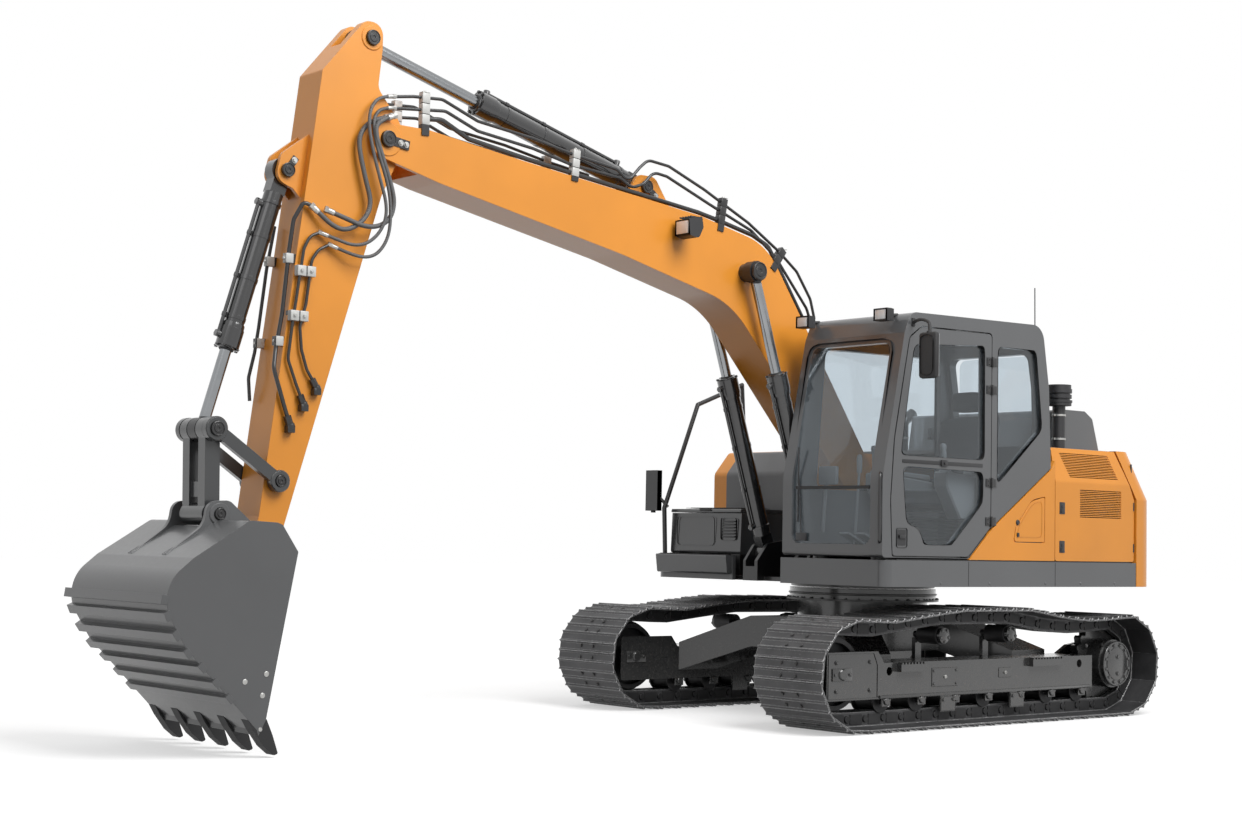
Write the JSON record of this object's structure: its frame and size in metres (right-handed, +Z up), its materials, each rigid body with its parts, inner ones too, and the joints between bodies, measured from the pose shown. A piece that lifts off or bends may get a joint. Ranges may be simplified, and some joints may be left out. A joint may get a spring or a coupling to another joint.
{
  "type": "crawler excavator",
  "caption": "Tracked digging machine with a slewing upper body, operator's cab, bent boom, arm, hydraulic cylinders and a toothed bucket.",
  "frame": {"origin": "on the ground under the slewing centre", "axes": "+X forward along the boom, +Y to the operator's left where the cab stands, +Z up"},
  "size_m": [7.9863, 2.97, 4.184],
  "materials": {
    "orange_paint": "satin paint, lightly worn",
    "grey_paint": "satin charcoal paint",
    "black_paint": "satin black paint, dusty",
    "track_steel": "worn steel with dust",
    "undercarriage_paint": "black paint under dust",
    "bucket_steel": "grey paint worn to steel",
    "tooth_steel": "bare worn steel",
    "rod_chrome": "polished hard chrome",
    "link_steel": "grey paint",
    "tinted_glass": "clear, lightly tinted",
    "interior_plastic": "grained",
    "lamp_housing": "moulded",
    "engine_iron": "painted casting",
    "hose_rubber": "smooth black hose"
  },
  "bodies": {
    "undercarriage": {"carbody": "undercarriage_paint", "track_frame_left": "undercarriage_paint", "track_frame_right": "undercarriage_paint", "track_left": "track_steel", "track_right": "track_steel", "idlers_and_rollers": "undercarriage_paint", "sprockets": "undercarriage_paint"},
    "upper_structure": {"upper_frame": "black_paint", "side_skirts": "grey_paint", "counterweight": "orange_paint", "engine_block": "engine_iron", "house_panels": "grey_paint", "air_cleaner_stack": "black_paint", "fuel_tank": "orange_paint", "toolbox": "grey_paint", "front_step": "black_paint", "handrails": "black_paint", "cab_frame": "grey_paint", "cab_fairing": "orange_paint", "cab_glass": "tinted_glass", "cab_interior": "interior_plastic", "mirrors": "interior_plastic", "work_lamps": "lamp_housing", "exhaust_pipe": "black_paint", "antenna": "black_paint"},
    "cab_door": {"cab_door": "grey_paint", "cab_door_glass": "tinted_glass"},
    "engine_door_left": {"engine_door_left": "orange_paint"},
    "engine_door_right": {"engine_door_right": "orange_paint"},
    "storage_door": {"storage_door": "orange_paint"},
    "toolbox_lid": {"toolbox_lid": "grey_paint"},
    "engine_hood": {"engine_hood": "grey_paint"},
    "boom": {"boom": "orange_paint", "boom_pins": "black_paint", "boom_lamp": "lamp_housing", "boom_pipes": "black_paint", "arm_hoses": "hose_rubber"},
    "boom_barrels": {"boom_cylinder_barrels": "black_paint"},
    "boom_rods": {"boom_cylinder_rods": "rod_chrome"},
    "arm_barrel": {"arm_cylinder_barrel": "black_paint"},
    "arm_rod": {"arm_cylinder_rod": "rod_chrome"},
    "arm": {"arm": "orange_paint", "arm_pins": "black_paint", "arm_pipes": "black_paint"},
    "bucket_barrel": {"bucket_cylinder_barrel": "black_paint"},
    "bucket_rod": {"bucket_cylinder_rod": "rod_chrome"},
    "side_links": {"side_links": "link_steel"},
    "h_link": {"h_link": "link_steel"},
    "bucket": {"bucket": "bucket_steel", "bucket_teeth": "tooth_steel"}
  },
  "joints": [
    {"name": "slew", "type": "hinge", "parent": "undercarriage", "child": "upper_structure", "pos_m": [0, 0, 0.88], "axis": [0, 0, 1], "continuous": true},
    {"name": "boom_lift", "type": "hinge", "parent": "upper_structure", "child": "boom", "pos_m": [0.12, 0, 1.495], "axis": [0, -1, 0], "range_deg": [-50, 38]},
    {"name": "boom_barrel_pivot", "type": "hinge", "parent": "upper_structure", "child": "boom_barrels", "pos_m": [0.738, 0, 1.112], "axis": [0, -1, 0], "range_deg": [-48.5, 37]},
    {"name": "boom_rod_slide", "type": "slide", "parent": "boom_barrels", "child": "boom_rods", "axis": [0.3207, 0, 0.9472], "range_m": [-0.59, 0.45]},
    {"name": "arm_swing", "type": "hinge", "parent": "boom", "child": "arm", "pos_m": [4.293, 0, 3.5], "axis": [0, 1, 0], "range_deg": [-62, 50], "deforming": ["arm_hoses"]},
    {"name": "arm_barrel_pivot", "type": "hinge", "parent": "boom", "child": "arm_barrel", "pos_m": [2.214, 0, 3.501], "axis": [0, 1, 0], "range_deg": [-6.5, 5.5]},
    {"name": "arm_rod_slide", "type": "slide", "parent": "arm_barrel", "child": "arm_rod", "axis": [0.9655, 0, 0.2603], "range_m": [-0.545, 0.44]},
    {"name": "bucket_curl", "type": "hinge", "parent": "arm", "child": "bucket", "pos_m": [5.015, 0, 1.095], "axis": [0, 1, 0], "range_deg": [-32, 118]},
    {"name": "bucket_barrel_pivot", "type": "hinge", "parent": "arm", "child": "bucket_barrel", "pos_m": [4.906, 0, 3.245], "axis": [0, 1, 0], "range_deg": [-1.5, 4.5]},
    {"name": "bucket_rod_slide", "type": "slide", "parent": "bucket_barrel", "child": "bucket_rod", "axis": [0.2859, 0, -0.9583], "range_m": [-0.18, 0.645]},
    {"name": "side_link_pivot", "type": "hinge", "parent": "arm", "child": "side_links", "pos_m": [4.947, 0, 1.477], "axis": [0, 1, 0], "range_deg": [-25, 91]},
    {"name": "h_link_pivot", "type": "hinge", "parent": "bucket", "child": "h_link", "pos_m": [5.34, 0, 1.285], "axis": [0, 1, 0], "range_deg": [-98, 27.5]},
    {"name": "cab_door_hinge", "type": "hinge", "parent": "upper_structure", "child": "cab_door", "pos_m": [0.08, 1.24, 1.9], "axis": [0, 0, 1], "range_deg": [0, 140]},
    {"name": "engine_door_left_hinge", "type": "hinge", "parent": "upper_structure", "child": "engine_door_left", "pos_m": [-1.547, 1.24, 1.4], "axis": [0, 0, 1], "range_deg": [0, 95]},
    {"name": "engine_door_right_hinge", "type": "hinge", "parent": "upper_structure", "child": "engine_door_right", "pos_m": [-1.547, -1.24, 1.4], "axis": [0, 0, -1], "range_deg": [0, 95]},
    {"name": "storage_door_hinge", "type": "hinge", "parent": "upper_structure", "child": "storage_door", "pos_m": [-0.5, 1.24, 1.38], "axis": [0, 0, 1], "range_deg": [0, 90]},
    {"name": "toolbox_lid_hinge", "type": "hinge", "parent": "upper_structure", "child": "toolbox_lid", "pos_m": [0.34, -0.83, 1.425], "axis": [0, -1, 0], "range_deg": [0, 80]},
    {"name": "engine_hood_hinge", "type": "hinge", "parent": "upper_structure", "child": "engine_hood", "pos_m": [-1.438, 0.29, 1.911], "axis": [0, -1, 0], "range_deg": [0, 60]}
  ],
  "couplings": [
    {"joint": "boom_barrel_pivot", "follows": "boom_lift", "ratio": 0.955},
    {"joint": "boom_rod_slide", "follows": "boom_lift", "m_per_rad": 0.6708},
    {"joint": "arm_barrel_pivot", "follows": "arm_swing", "ratio": 0.0956},
    {"joint": "arm_rod_slide", "follows": "arm_swing", "m_per_rad": 0.4984},
    {"joint": "bucket_barrel_pivot", "follows": "bucket_curl", "ratio": 0.0303},
    {"joint": "bucket_rod_slide", "follows": "bucket_curl", "m_per_rad": 0.30996},
    {"joint": "side_link_pivot", "follows": "bucket_curl", "ratio": 0.7584},
    {"joint": "h_link_pivot", "follows": "bucket_curl", "ratio": -0.8162}
  ]
}
